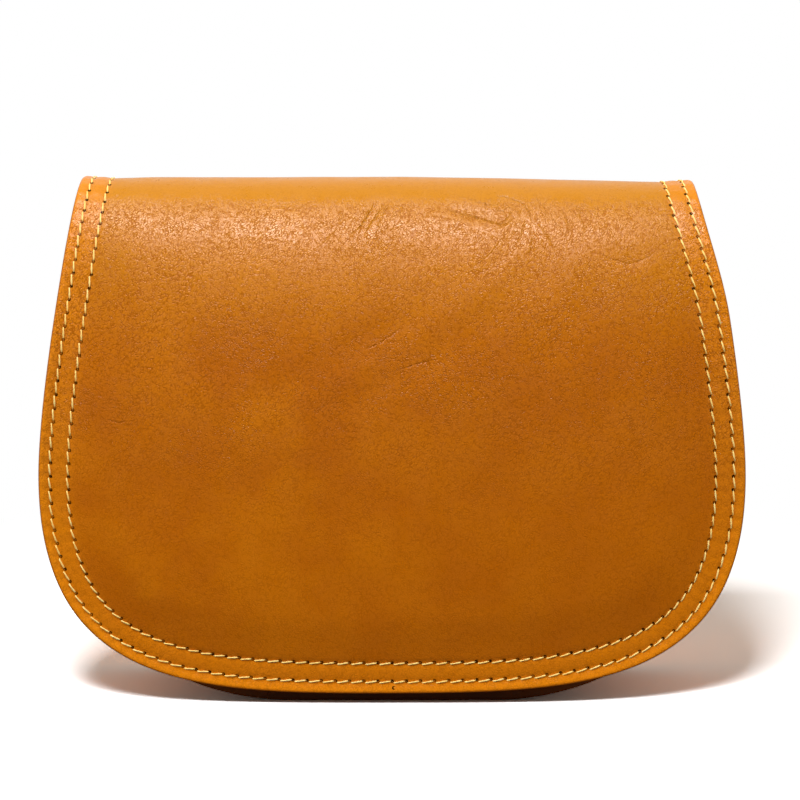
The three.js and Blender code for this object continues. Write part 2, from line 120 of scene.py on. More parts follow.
class Outline:
    """A symmetrical outline from its left end, round the bottom, to its right end.

    t is the length along it, 0 at the middle of the bottom.
    """

    def __init__(self, *curves):
        self.half = Path(*curves)
        self.reach = self.half.length
        tangent = self.half.along(self.half.lengths)
        self.corner = self.half.lengths[np.argmax(tangent[:, 1] > tangent[:, 0])]

    def point(self, t, inset=0.0):
        t = np.asarray(t, float)
        side = np.where(t < 0, -1.0, 1.0)
        a = np.abs(t)
        p = self.half.at(a)
        d = self.half.along(a)
        middle = (a < 1e-6)[..., None]
        d = np.where(middle, [1.0, 0.0], d)
        end = (a > self.reach - 1e-6)[..., None]
        inward = np.where(end, [-1.0, 0.0], np.stack([-d[..., 1], d[..., 0]], -1))
        q = p + inward * np.asarray(inset, float)[..., None]
        return np.stack([q[..., 0] * side, q[..., 1]], -1)


def body_outline(top):
    half, foot = BODY_WIDTH / 2, FOOT_WIDTH / 2
    reach, rise = half - foot, top - BODY_WIDEST_HEIGHT
    slope = (half - BODY_TOP_WIDTH / 2) / (FRONT_HEIGHT - BODY_WIDEST_HEIGHT)
    end = half - slope * rise
    foot_bend, widest = (foot + 0.35 * reach, 0), (half, BODY_WIDEST_HEIGHT)
    top_bend = (end + 0.25 * slope * rise, top - 0.25 * rise)
    low = bezier((foot, 0), foot_bend, (half - 0.02 * reach, 0.18 * BODY_WIDEST_HEIGHT), widest)
    high = bezier(widest, (half, BODY_WIDEST_HEIGHT + 0.33 * rise), top_bend, (end, top))
    return Outline(np.array([[0.0, 0.0], [foot, 0.0]]), low, high)


def flap_outline(length):
    half, fold, seam = FLAP_WIDTH / 2, FLAP_FOLD_WIDTH / 2, FLAP_SEAM_WIDTH / 2
    side, behind = FLAP_FOLD_AT - FLAP_WIDEST_AT, length - FLAP_FOLD_AT
    return Outline(
        bezier((0, 0), (0.567 * half, 0), (half, 0.03 * FLAP_WIDEST_AT), (half, FLAP_WIDEST_AT)),
        bezier(
            (half, FLAP_WIDEST_AT),
            (half, FLAP_WIDEST_AT + 0.23 * side),
            (lerp(fold, half, 0.375), FLAP_FOLD_AT - 0.364 * side),
            (fold, FLAP_FOLD_AT),
        ),
        bezier(
            (fold, FLAP_FOLD_AT),
            (lerp(fold, seam, 0.5), FLAP_FOLD_AT + 0.3 * behind),
            (seam, length - 0.35 * behind),
            (seam, length),
        ),
    )


# Walls of the body

def front_rim_y(z):
    return -BACK_Y + (BASE_DEPTH - MOUTH_DEPTH) * (np.asarray(z) / FRONT_HEIGHT)


def front_wall_y(z, d):
    fade = lerp(1, MOUTH_BULGE, smooth(z, BELLY_TOP * FRONT_HEIGHT, FRONT_HEIGHT))
    return front_rim_y(z) - FRONT_BULGE * fade * smooth(d, RIM, RIM + BULGE_RAMP)


def back_wall_y(z, d):
    flat_from = BACK_HEIGHT - FLAP_OVERLAP - RIM
    belly = np.where(z < flat_from, np.sin(np.pi * np.clip(z, 0, flat_from) / flat_from), 0)
    return BACK_Y + BACK_BULGE * belly * smooth(d, RIM, RIM + BULGE_RAMP)


# The flap's side view, as a Catmull-Rom curve through shares of its reach and height

BELLY_REACH = CLASP_THICKNESS + 3 * CLEARANCE + FLAP_THICKNESS - float(front_wall_y(CLASP_HEIGHT, RIM + BULGE_RAMP))
SEAM_REACH = BACK_Y + CLEARANCE + FLAP_THICKNESS
FLAP_PROFILE = [
    (-0.957, FLAP_LIFT / FLAP_HEIGHT),
    (-0.985, 0.112),
    (-1, CLASP_HEIGHT / FLAP_HEIGHT),
    (-0.998, 0.364),
    (-0.97, 0.515),
    (-0.9, 0.661),
    (-0.785, 0.784),
    (-0.615, 0.88),
    (-0.39, 0.947),
    (-0.105, 0.99),
    (0.21, 1),
    (0.6, 0.981),
    (0.885, 0.942),
    (1, (BACK_HEIGHT + SEAM_MARGIN) / FLAP_HEIGHT),
    (1, (BACK_HEIGHT - FLAP_OVERLAP / 2) / FLAP_HEIGHT),
    (1, (BACK_HEIGHT - FLAP_OVERLAP) / FLAP_HEIGHT),
]


def catmull_rom(knots, count=6000):
    knots = np.array(knots, float)
    n = len(knots)
    p = np.linspace(0, n - 1, count)
    i = np.minimum(p.astype(int), n - 2)
    w = (p - i)[:, None]
    here, there = knots[i], knots[i + 1]
    v0, v1 = (there - knots[np.maximum(i - 1, 0)]) / 2, (knots[np.minimum(i + 2, n - 1)] - here) / 2
    cubic, square = 2 * here - 2 * there + v0 + v1, 3 * there - 3 * here - 2 * v0 - v1
    return cubic * w**3 + square * w**2 + v0 * w + here


knots = [(r * (BELLY_REACH if r < 0 else SEAM_REACH), h * FLAP_HEIGHT) for r, h in FLAP_PROFILE]
profile = Path(catmull_rom(knots))
FLAP_LENGTH = profile.length
flap_edge = flap_outline(FLAP_LENGTH)
side_end = flap_edge.reach - 3
PITCH = 2 * side_end / (2 * round(side_end / STITCH_LENGTH))
# What the leather adds: a softer pad, a flare and a lip at the edge, dents along the rows and at the stitches
PAD_LOOK, PAD_SLOPE, FLARE_LOOK, EDGE_LIP = 0.6 * PAD_HEIGHT, 17, 1.3, 0.6
INNER_DENT, OUTER_DENT, BORDER_SWELL, STITCH_DENT = 0.3, 0.22, 0.14, 0.16
EDGE_PUCKER, BORDER_PUCKER = 0.24, 0.1


def flap_point(x, s, height):
    """Where a point of the flap is: x across, s along it from the lower edge, height out of its face."""
    s = np.clip(s, 0, FLAP_LENGTH)
    p, t = profile.at(s), profile.along(s, 0.6)
    across = x / (FLAP_WIDTH / 2)
    out = height - SIDE_CURL * (1 - smooth(s / FLAP_LENGTH, *CURL_SPAN)) * np.abs(across) ** CURL_POWER
    y, z = p[..., 0] - t[..., 1] * out, p[..., 1] + t[..., 0] * out
    slump = smooth(across, *SHOULDER_ACROSS) * smooth(z / FLAP_HEIGHT, *SHOULDER_UP)
    skew = HEM_SKEW * across * (1 - smooth(z / FLAP_HEIGHT, *SKEW_UP))
    return np.stack([x - SHOULDER_LEAN * slump, y + SHIFT, z + skew - SHOULDER_DROP * slump], -1)


def soft_noise(points, scale, seed):
    """Smooth noise between -1 and 1 at points in millimetres, one bump about every `scale` millimetres."""
    offset = Vector((seed * 7.31, seed * 3.17, seed * 5.77))
    return np.array([noise.noise(Vector(p) / scale + offset) for p in points])


# Creases of the flap as lines of (x, height) in mm in the front view, with their depth and, if wide, their width.
# Wide ones press the leather in, fine ones only mark it.
WIDE_CREASES = [
    ([(-1, 171), (-6, 165), (-12, 158)], 0.3, 2.2),
    ([(15, 168), (26, 165), (36, 163), (42, 167)], 0.3, 1.9),
    ([(46, 165), (38, 153), (28, 143)], 0.2, 2.4),
    ([(70, 153), (80, 149.5), (89, 152)], 0.2, 2.4),
    ([(58, 155), (40, 138), (14, 118), (-24, 98)], 0.2, 5.0),
    ([(30, 150), (4, 130), (-30, 112), (-50, 104)], 0.14, 4.5),
    ([(74, 150), (62, 128), (48, 112)], 0.14, 5.0),
]
FINE_CREASES = [
    [
        ([(-5.9, 168.3), (-8.5, 164.5), (-10.6, 161.3), (-14.5, 158)], 1.0),
        ([(17, 167.3), (23, 165.6), (31, 163.6), (36.8, 161.8), (39.4, 164.2), (41.4, 166.8)], 1.0),
        ([(57.8, 167), (60, 162), (59.5, 157)], 0.55),
        ([(46, 151), (47.5, 156), (47, 162)], 0.5),
        ([(-96, 97), (-92, 96), (-89, 97)], 0.5),
        ([(3, 128), (-4, 123), (-9, 121)], 0.6),
        ([(60, 149), (47, 138), (33, 127), (20, 119)], 0.14),
    ],
    [
        ([(-2.8, 168.9), (-5, 165.2), (-7.2, 162.3), (-9.9, 157.4)], 0.85),
        ([(36, 170.8), (38.5, 170.6), (44, 168.9), (46.8, 165.9), (47.6, 162.5)], 0.7),
        ([(35, 160.4), (38.8, 161.9), (42.2, 164.6)], 0.8),
        ([(63.5, 166), (65.5, 161), (64.5, 156)], 0.5),
        ([(16, 118), (8, 116), (2, 114)], 0.6),
        ([(22, 146), (8, 136), (-6, 128), (-18, 122)], 0.12),
    ],
    [
        ([(-0.5, 169), (-3.5, 164.6), (-5.5, 160)], 0.5),
        ([(41.5, 154.5), (44, 159), (45.4, 163.9)], 0.7),
        ([(70, 152.5), (73.3, 151), (80.2, 149), (85.4, 150.6), (88.8, 152.3)], 0.6),
        ([(-40, 163), (-44, 158), (-50, 153)], 0.3),
        ([(-68, 150), (-74, 145), (-82, 143)], 0.25),
    ],
    [
        ([(49, 163), (53, 158), (55, 153)], 0.55),
        ([(38, 158), (33, 152), (26, 147)], 0.4),
        ([(-16, 166), (-19, 160), (-25, 154)], 0.4),
        ([(72, 163), (76, 157), (77, 151)], 0.35),
    ],
]
CREASE_REACH = 5.0  # the gap that a point far from every crease is given


def along_line(line, x, z):
    """The signed gap from points to a line, and the share of the line at the nearest place."""
    points = np.array(line, float)
    gap, share = np.full_like(x, 1e9), np.zeros_like(x)
    for i, (a, b) in enumerate(zip(points[:-1], points[1:])):
        span = b - a
        u = np.clip(((x - a[0]) * span[0] + (z - a[1]) * span[1]) / (span @ span), 0, 1)
        off_x, off_z = x - a[0] - u * span[0], z - a[1] - u * span[1]
        here = np.hypot(off_x, off_z) * np.where(off_x * span[1] - off_z * span[0] < 0, -1, 1)
        closer = np.abs(here) < np.abs(gap)
        gap = np.where(closer, here, gap)
        share = np.where(closer, (i + u) / (len(points) - 1), share)
    return gap, share


def flap_creases(x, z):
    """Depth of the wide creases at points of the front."""
    depth = np.zeros_like(x)
    for line, deep, wide in WIDE_CREASES:
        gap, share = along_line(line, x, z)
        taper = np.sin(np.pi * np.clip(share, 0.03, 0.97)) ** 0.6
        depth += deep * taper * (bump(gap, 0, wide) - 0.45 * bump(np.abs(gap), 1.9 * wide, wide))
    return depth


def crease_attributes(x, z, shown):
    """For each set of fine creases, the signed gap to the nearest one and how deep it is there."""
    made = {}
    for k, lines in enumerate(FINE_CREASES):
        nearest, deepest = np.full_like(x, CREASE_REACH), np.zeros_like(x)
        for line, deep in lines:
            gap, share = along_line(line, x, z)
            closer = np.abs(gap) < np.abs(nearest)
            nearest = np.where(closer, gap, nearest)
            deepest = np.where(closer, deep * np.sin(np.pi * share) ** 0.5 * shown, deepest)
        made[f"crease_gap_{k}"], made[f"crease_depth_{k}"] = nearest, deepest
    return made


def flap_relief(x, s, d, t):
    """Height of the flap's outer face above its profile."""
    share = s / FLAP_LENGTH
    fold = smooth(share, *FOLD_SPAN[:2]) * (1 - smooth(share, *FOLD_SPAN[2:]))
    pad = PAD_LOOK * lerp(1, FOLD_PAD_SHARE, fold) * smooth(d, INNER_ROW - 0.8, INNER_ROW + PAD_SLOPE)
    beside = smooth(np.abs(x) / (FLAP_WIDTH / 2), 0.8, 0.97)
    flare = FLARE_LOOK * (1 + 0.9 * beside) * lerp(1, 0.12, fold) * (1 - smooth(d, -2, INNER_ROW))
    lip = EDGE_LIP * lerp(1, 0.2, fold) * (1 - smooth(d, 0.6, OUTER_ROW - 0.4))
    lift = 0.5 * FOLD_BORDER_LIFT * fold * (1 - smooth(d, OUTER_ROW, INNER_ROW + 2))
    swell = BORDER_SWELL * bump(d, (OUTER_ROW + INNER_ROW) / 2, 1.9)
    rows = swell - INNER_DENT * bump(d, INNER_ROW, ROW_WIDTH) - OUTER_DENT * bump(d, OUTER_ROW, 0.8)
    near_stitch = 0.5 + 0.5 * np.cos(2 * np.pi * t / PITCH)
    holes = -STITCH_DENT * near_stitch**3 * (bump(d, INNER_ROW, ROW_WIDTH) + bump(d, OUTER_ROW, ROW_WIDTH))
    return pad + flare + lip + lift + lerp(1, 0.5, fold) * rows + holes


def puckers(d, t, drift):
    """Small radial wrinkles between the outer row and the edge, and in the border."""
    wave = np.sin(2 * np.pi * (t + 1.4 * drift) / PITCH + 0.8 * drift)
    at_edge = (0.4 + 0.6 * np.abs(drift)) * smooth(d, 0.2, 1.4) * (1 - smooth(d, 2.6, 3.9))
    return wave * (EDGE_PUCKER * at_edge + BORDER_PUCKER * bump(d, 7.2, 1.4))


# Meshes

def uneven(length, step, end_steps=(1.3, 0.75, 0.35, 0.12)):
    """Positions along a length: even steps, then finer ones to round the end."""
    even = np.linspace(0, length - end_steps[0], max(3, round(length / step)))
    return np.concatenate([even, length - np.array(end_steps[1:]), [length]])


def grid_quads(index):
    """The quads of a grid of point numbers."""
    return np.stack([index[:-1, :-1], index[:-1, 1:], index[1:, 1:], index[1:, :-1]], -1).reshape(-1, 4)


def rings(count, sides):
    """Point numbers of rings of points, each ring closed by its first point."""
    index = np.arange(count * sides).reshape(count, sides)
    return np.concatenate([index, index[:, :1]], 1)


def repeated(faces, count, size):
    """The faces of one shape for each of several copies, whose points follow each other."""
    return [[i + c * size for i in face] for c in range(count) for face in faces]


class Sheet:
    """A grid of the area inside an outline: rings of points at each inset, then a patch in the middle."""

    def __init__(self, outline, insets, step):
        corner = outline.corner
        low = np.linspace(0, corner, max(4, round(corner / step)) + 1)
        high = corner + uneven(outline.reach - corner, step)
        nb, ns = len(low) - 1, len(high) - 1
        half = np.concatenate([low, high[1:]])
        t = np.concatenate([-half[::-1], half[1:]])
        t[len(half) - 1] = 0
        size = len(t)
        insets_at = [outline.point(t, np.full(size, inset)) for inset in insets]
        last, inner = len(insets) - 1, insets_at[-1]
        left, bottom, right = inner[ns::-1], inner[ns : ns + 2 * nb + 1], inner[ns + 2 * nb :]
        v = ((high - corner) / (outline.reach - corner))[:, None, None]
        u = np.linspace(0, 1, 2 * nb + 1)[None, :, None]
        top = left[-1] * (1 - u[0]) + right[-1] * u[0]
        patch = (1 - v) * bottom[None] + v * top[None] + (1 - u) * left[:, None] + u * right[:, None]
        patch -= (1 - v) * ((1 - u) * bottom[0] + u * bottom[-1]) + v * ((1 - u) * left[-1] + u * right[-1])
        inside = patch[1:, 1:-1].reshape(-1, 2)
        gaps = np.full(len(inside), 1e9)
        edge_at = np.zeros(len(inside))
        edge = outline.point(t)
        for a in range(0, size, 2):
            gap = np.hypot(*(inside - edge[a]).T)
            edge_at = np.where(gap < gaps, t[a], edge_at)
            gaps = np.minimum(gaps, gap)
        flat = np.concatenate(insets_at + [inside])
        self.x, self.s = flat.T
        self.d = np.concatenate([np.repeat(insets, size), np.maximum(gaps, insets[-1])])
        self.t = np.concatenate([np.tile(t, len(insets)), edge_at])
        index = np.zeros((ns + 1, 2 * nb + 1), int)
        base = last * size
        index[0] = base + ns + np.arange(2 * nb + 1)
        index[:, 0] = base + ns - np.arange(ns + 1)
        index[:, -1] = base + ns + 2 * nb + np.arange(ns + 1)
        index[1:, 1:-1] = len(insets) * size + np.arange(len(inside)).reshape(ns, 2 * nb - 1)
        border = np.arange((last + 1) * size).reshape(-1, size)
        self.quads = np.concatenate([grid_quads(border), grid_quads(index)])
        self.loop = np.concatenate([border[0], border[1:, -1], index[-1, 1:-1][::-1], border[:0:-1, 0]])


def new_object(name, vertices, faces, materials, face_slots=None, attributes=None):
    """A smooth mesh object from points in millimetres."""
    mesh = bpy.data.meshes.new(name)
    mesh.from_pydata((np.asarray(vertices) * MM).tolist(), [], [list(map(int, f)) for f in faces])
    for key, values in (attributes or {}).items():
        mesh.attributes.new(key, "FLOAT", "POINT").data.foreach_set("value", np.asarray(values, np.float32))
    mesh.polygons.foreach_set("use_smooth", [True] * len(mesh.polygons))
    for material in materials:
        mesh.materials.append(material)
    if face_slots is not None:
        mesh.polygons.foreach_set("material_index", face_slots)
    mesh.update()
    made = bpy.data.objects.new(name, mesh)
    bpy.context.scene.collection.objects.link(made)
    return made


def sheet_object(name, grid, outer, inner, materials, marks=None):
    """A closed sheet of leather: face, flesh side and painted edge."""
    count = len(grid.x)
    back = grid.quads[:, ::-1] + count
    a, b = grid.loop, np.roll(grid.loop, -1)
    edge = np.stack([a, a + count, b + count, b], -1)
    faces = np.concatenate([grid.quads, back, edge])
    slots = [0] * len(grid.quads) + [1] * len(back) + [2] * len(edge)
    attributes = {"edge_d": np.tile(grid.d, 2), "edge_t": np.tile(grid.t, 2)}
    attributes.update({key: np.tile(values, 2) for key, values in (marks or {}).items()})
    return new_object(name, np.concatenate([outer, inner]), faces, materials, slots, attributes)


# Materials

class Nodes:
    """The node tree of a material or world, built a node at a time."""

    def __init__(self, owner):
        owner.use_nodes = True
        self.owner, self.tree = owner, owner.node_tree
        self.tree.nodes.clear()
        self.where = self.add("ShaderNodeTexCoord").outputs["Object"]

    def add(self, kind, inputs=None, **settings):
        made = self.tree.nodes.new(kind)
        for key, value in settings.items():
            setattr(made, key, value)
        for key, value in (inputs or {}).items():
            if isinstance(value, bpy.types.NodeSocket):
                self.tree.links.new(value, made.inputs[key])
            else:
                made.inputs[key].default_value = value
        return made

    def noise(self, scale, detail=2.0, roughness=0.5, output="Fac"):
        inputs = {"Vector": self.where, "Scale": scale, "Detail": detail, "Roughness": roughness}
        return self.add("ShaderNodeTexNoise", inputs).outputs[output]

    def attribute(self, name):
        return self.add("ShaderNodeAttribute", attribute_name=name).outputs["Fac"]

    def math(self, operation, a, b=0.0):
        return self.add("ShaderNodeMath", {0: a, 1: b}, operation=operation).outputs[0]

    def vector(self, operation, a, b=(0, 0, 0), output=0):
        return self.add("ShaderNodeVectorMath", {0: a, 1: b}, operation=operation).outputs[output]

    def invert(self, value):
        return self.math("SUBTRACT", 1.0, value)

    def range(self, value, low, high, to_low=0.0, to_high=1.0, smoothly=True):
        made = self.add(
            "ShaderNodeMapRange",
            {"Value": value, "From Min": low, "From Max": high, "To Min": to_low, "To Max": to_high},
            interpolation_type="SMOOTHSTEP" if smoothly else "LINEAR",
        )
        return made.outputs["Result"]

    def mix(self, factor, a, b):
        """A mix of two colours."""
        return self.add("ShaderNodeMix", {0: factor, 6: a, 7: b}, data_type="RGBA").outputs[2]

    def bump(self, height, distance, normal=None, strength=1.0):
        inputs = {"Height": height, "Distance": distance, "Strength": strength}
        if normal:
            inputs["Normal"] = normal
        return self.add("ShaderNodeBump", inputs).outputs["Normal"]

    def finish(self, **inputs):
        surface = self.add("ShaderNodeBsdfPrincipled", {k.replace("_", " "): v for k, v in inputs.items()})
        self.add("ShaderNodeOutputMaterial", {"Surface": surface.outputs["BSDF"]})
        return self.owner

    def by_ray(self, seen, diffuse, glossy):
        """A number that differs for what the camera sees, for soft light and for reflections."""
        path = self.add("ShaderNodeLightPath").outputs
        value = diffuse
        for ray, strength in (("Is Glossy Ray", glossy), ("Is Camera Ray", seen)):
            inputs = {"Factor": path[ray], "A": value, "B": strength}
            value = self.add("ShaderNodeMix", inputs).outputs["Result"]
        return value

    def rgb(self, channels):
        return self.add("ShaderNodeCombineColor", dict(zip(("Red", "Green", "Blue"), channels))).outputs[0]


def new_material(name):
    return Nodes(bpy.data.materials.new(name))


def pebbles(n, where, cell, angle, stretch):
    """Drawn-out pebbles of leather grain: 0 in the lines between them, 1 on top."""
    turn = {"Vector": where, "Axis": (0.2, 1, 0.1), "Angle": angle}
    drawn = n.vector("MULTIPLY", n.add("ShaderNodeVectorRotate", turn).outputs[0], (1 / stretch, 1, 1))
    inputs = {"Vector": drawn, "Scale": 1 / (cell * MM)}
    to_edge = n.add("ShaderNodeTexVoronoi", inputs, feature="DISTANCE_TO_EDGE").outputs["Distance"]
    return n.range(to_edge, 0.0, 0.24)


PEBBLE, PEBBLE_DRIFT = 0.74, 1.2


def grain_lines(n):
    """The broken lines of the grain, whose pebbles are drawn out one way in some places and another in others."""
    off_middle = n.vector("SUBTRACT", n.noise(460.0, output="Color"), (0.5, 0.5, 0.5))
    sway = 2 * PEBBLE_DRIFT * PEBBLE * MM
    where = n.vector("ADD", n.where, n.vector("MULTIPLY", off_middle, (sway, sway, sway)))
    one_way, other_way = pebbles(n, where, PEBBLE, 0.9, 2.3), pebbles(n, where, 0.9 * PEBBLE, -0.5, 1.7)
    choice = n.range(n.noise(30.0), 0.4, 0.6)
    cells = n.add("ShaderNodeMix", {"Factor": choice, "A": one_way, "B": other_way}).outputs["Result"]
    broken = n.range(n.noise(700.0, 3.0, roughness=0.65), 0.38, 0.6, 0.35, 1.0)
    return n.math("MULTIPLY", n.invert(cells), broken)


LEATHER_LIGHT = (0.65, 0.19, 0.0004, 1)
LEATHER_DEEP = (0.53, 0.135, 0.0002, 1)
# Lighter, yellower leather over the fold: partly pull-up, partly painted top light
LEATHER_PULLED_LIT = (0.6, 0.23, 0.003, 1)
LEATHER_DARK = (0.2, 0.045, 0.001, 1)
GRAIN_LINE = (0.33, 0.082, 0.0002, 1)
# Painted light: the lighter tone of the border
LEATHER_BORDER_LIT = (0.86, 0.27, 0.003, 1)


def fine_creases(n):
    """The sharp lines of the creases, 1 at their bottom."""
    total = None
    wiggle = n.range(n.noise(900.0, 3.0), 0.3, 0.7, -0.12, 0.5, smoothly=False)
    for k in range(len(FINE_CREASES)):
        gap = n.math("ABSOLUTE", n.attribute(f"crease_gap_{k}"))
        near = n.range(n.math("ADD", gap, wiggle), 0.0, 0.7, 1.0, 0.0)
        line = n.math("MULTIPLY", near, n.attribute(f"crease_depth_{k}"))
        total = line if total is None else n.math("MAXIMUM", total, line)
    return total


def shade_round_holes(n, edge):
    """Painted shade round the holes of the stitch rows, from 0 to 1."""
    turn = n.math("MULTIPLY", n.attribute("edge_t"), 2 * math.pi / PITCH)
    near = n.range(n.math("COSINE", turn), 0.55, 1.0)
    rows = None
    for row in (OUTER_ROW, INNER_ROW):
        gap = n.math("ABSOLUTE", n.math("SUBTRACT", edge, row + 0.2))
        here = n.range(gap, 0.2, 0.95, 1.0, 0.0)
        rows = here if rows is None else n.math("MAXIMUM", rows, here)
    return n.math("MULTIPLY", near, rows)


def leather_material(name, tone=1.0, flap=True):
    n = new_material(name)
    lines = grain_lines(n)
    fine = n.noise(2600.0)
    soft = n.noise(38.0, 3.0)
    patch = n.noise(11.0)
    shades = (LEATHER_LIGHT, LEATHER_DEEP, LEATHER_PULLED_LIT)
    light, deep, pulled_lit = (tuple(c * tone for c in shade[:3]) + (1,) for shade in shades)
    colour = n.mix(n.range(soft, 0.3, 0.72), deep, light)
    colour = n.mix(n.range(patch, 0.35, 0.7, 0.0, 0.25), colour, deep)
    across, _, height = n.add("ShaderNodeSeparateXYZ", {0: n.where}).outputs
    # Painted shade: darker towards the right side, away from the light
    colour = n.mix(n.range(across, -0.08, 0.06, 0.0, 0.55), colour, deep)
    roughness = n.range(n.noise(160.0), 0.3, 0.7, 0.27, 0.38)
    normal = n.bump(soft, 0.9 * MM, strength=0.3)
    polish = 1.0
    if flap:
        edge, crinkle = n.attribute("edge_d"), n.attribute("crinkle")
        # Painted light: the border lighter out to just inside the inner row, most at the edge
        painted_border_light = n.math("ADD", n.range(edge, 1.0, 4.2, 0.4, 0.0), n.range(edge, 8.0, 13.0, 0.45, 0.0))
        # Over the fold, partly pulled-up leather and partly painted top light
        colour = n.mix(painted_border_light, n.mix(n.attribute("pull_and_top_light"), colour, pulled_lit), LEATHER_BORDER_LIT)
        taut = n.range(n.attribute("taut"), 0.0, 1.0, 1.0, 0.25)
        lines = n.math("MULTIPLY", lines, n.math("MULTIPLY", taut, n.range(crinkle, 0.0, 1.0, 0.5, 1.0)))
        polish = n.range(crinkle, 0.0, 0.8, 0.45, 1.0)
        creases = fine_creases(n)
        marks = shade_round_holes(n, edge)
        # Painted shade: the creases darkened
        colour = n.mix(n.math("MULTIPLY", creases, 0.3), colour, LEATHER_DARK)
        # Painted shade round the stitch holes
        colour = n.mix(n.math("MULTIPLY", marks, 0.6), colour, LEATHER_DARK)
        painted = n.range(edge, 0.15, 0.7, 1.0, 0.0)
        colour = n.mix(n.math("MULTIPLY", painted, 0.5), colour, LEATHER_DARK)
        normal = n.bump(n.invert(creases), 0.34 * MM, normal)
    else:
        lines = n.math("MULTIPLY", lines, 0.5)
        # Painted shade: the body darker towards the bottom, under the flap
        colour = n.mix(n.range(height, 2 * MM, 22 * MM, 0.85, 0.0), colour, LEATHER_DARK)
    colour = n.mix(n.math("MULTIPLY", lines, 0.85), colour, GRAIN_LINE)
    roughness = n.math("ADD", roughness, n.math("MULTIPLY", lines, 0.08))
    normal = n.bump(n.invert(lines), 0.09 * MM, normal)
    normal = n.bump(fine, 0.012 * MM, normal)
    return n.finish(
        Base_Color=colour,
        Roughness=roughness,
        Normal=normal,
        Specular_IOR_Level=n.math("MULTIPLY", polish, n.range(lines, 0.0, 1.0, 1.0, 0.25, smoothly=False)),
        Specular_Tint=(1.0, 0.88, 0.88, 1),
    )


def flesh_material():
    n = new_material("flesh_side")
    fibres = n.noise(900.0, 4.0, roughness=0.7)
    cloud = n.noise(45.0, 3.0)
    colour = n.mix(n.range(cloud, 0.3, 0.7), (0.36, 0.16, 0.05, 1), (0.5, 0.25, 0.09, 1))
    colour = n.mix(n.math("MULTIPLY", fibres, 0.4), colour, (0.28, 0.11, 0.03, 1))
    normal = n.bump(fibres, 0.08 * MM)
    return n.finish(Base_Color=colour, Roughness=0.92, Normal=normal, Specular_IOR_Level=0.15, Sheen_Weight=0.25)


def edge_material():
    n = new_material("edge_paint")
    streak = n.noise(500.0, 3.0)
    colour = n.mix(n.range(streak, 0.3, 0.7), (0.16, 0.04, 0.004, 1), (0.27, 0.075, 0.006, 1))
    normal = n.bump(streak, 0.04 * MM)
    return n.finish(Base_Color=colour, Roughness=0.4, Normal=normal, Specular_IOR_Level=0.35)


def thread_material():
    n = new_material("thread")
    fuzz = n.noise(4200.0, 3.0)
    shade = n.noise(120.0, 2.0)
    colour = n.mix(n.range(shade, 0.3, 0.7), (1.0, 0.7, 0.2, 1), (1.0, 0.8, 0.3, 1))
    colour = n.mix(n.math("MULTIPLY", fuzz, 0.16), colour, (0.6, 0.34, 0.08, 1))
    return n.finish(Base_Color=colour, Roughness=0.62, Normal=n.bump(fuzz, 0.03 * MM), Specular_IOR_Level=0.2)


def hole_material():
    n = new_material("awl_hole")
    dark = n.noise(1500.0, 2.0)
    # Near-black: painted shade inside the awl holes
    colour = n.mix(dark, (0.006, 0.002, 0.0005, 1), (0.025, 0.008, 0.001, 1))
    return n.finish(Base_Color=colour, Roughness=1.0, Specular_IOR_Level=0.0)


def metal_material():
    n = new_material("brass")
    brushed = n.noise(700.0, 3.0)
    tarnish = n.noise(90.0, 3.0)
    colour = n.mix(n.range(tarnish, 0.35, 0.75), (0.62, 0.43, 0.17, 1), (0.4, 0.26, 0.1, 1))
    roughness = n.range(brushed, 0.2, 0.8, 0.24, 0.38)
    return n.finish(Base_Color=colour, Metallic=1.0, Roughness=roughness, Normal=n.bump(brushed, 0.01 * MM))


face_leather = leather_material("leather")
body_leather = leather_material("body_leather", 0.92, flap=False)
flesh, edge_paint, thread = flesh_material(), edge_material(), thread_material()
awl_hole, brass = hole_material(), metal_material()


def piece(made, slot, *nodes):
    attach(made, "root")
    if nodes:
        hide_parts(*nodes)
    return made


# Stitches: a twisted thread between awl holes, laid on a surface given as f(t, d, lift)

TUBE_SIDES, STITCH_SAMPLES, THREAD_TWIST = 9, 11, 5.0
AWL_SIDES, AWL_RINGS = 10, ((0.6, 0.09), (0.44, 0.06), (0.24, 0.02))


def tube(centres, ups, radii, twist):
    """Vertices and faces of many short tubes: centres and ups are (tubes, samples, 3), radii (samples)."""
    count, samples, _ = centres.shape
    along = np.gradient(centres, axis=1)
    along /= np.linalg.norm(along, axis=-1, keepdims=True)
    side = np.cross(along, ups)
    side /= np.linalg.norm(side, axis=-1, keepdims=True)
    up = np.cross(side, along)
    a = 2 * np.pi * np.arange(TUBE_SIDES) / TUBE_SIDES
    turn = np.linspace(0, twist, samples)[:, None]
    radius = radii[:, None] * (1 + 0.15 * np.cos(2 * (a[None] - turn)))
    across, upward = (radius * np.cos(a))[None, :, :, None], (radius * np.sin(a))[None, :, :, None]
    vertices = (centres[:, :, None] + side[:, :, None] * across + up[:, :, None] * upward).reshape(-1, 3)
    index = rings(samples, TUBE_SIDES)
    faces = grid_quads(index.T).tolist() + [index[0, :-1].tolist(), index[-1, -2::-1].tolist()]
    return vertices, repeated(faces, count, samples * TUBE_SIDES)


def awl_holes(surface, t, d):
    """Small dimples at places of a surface, dark with painted shade, as rings of (radius, lift)."""
    a = 2 * np.pi * np.arange(AWL_SIDES) / AWL_SIDES
    vertices = []
    for radius, lift in AWL_RINGS:
        t_around = (t[:, None] + radius * np.cos(a)).ravel()
        d_around = (d[:, None] + 0.9 * radius * np.sin(a)).ravel()
        vertices.append(surface(t_around, d_around, np.full(len(t_around), lift)).reshape(len(t), AWL_SIDES, 3))
    index = rings(len(AWL_RINGS), AWL_SIDES)
    faces = grid_quads(index).tolist() + [index[-1, :-1].tolist()]
    return np.stack(vertices, 1).reshape(-1, 3), repeated(faces, len(t), len(AWL_RINGS) * AWL_SIDES)


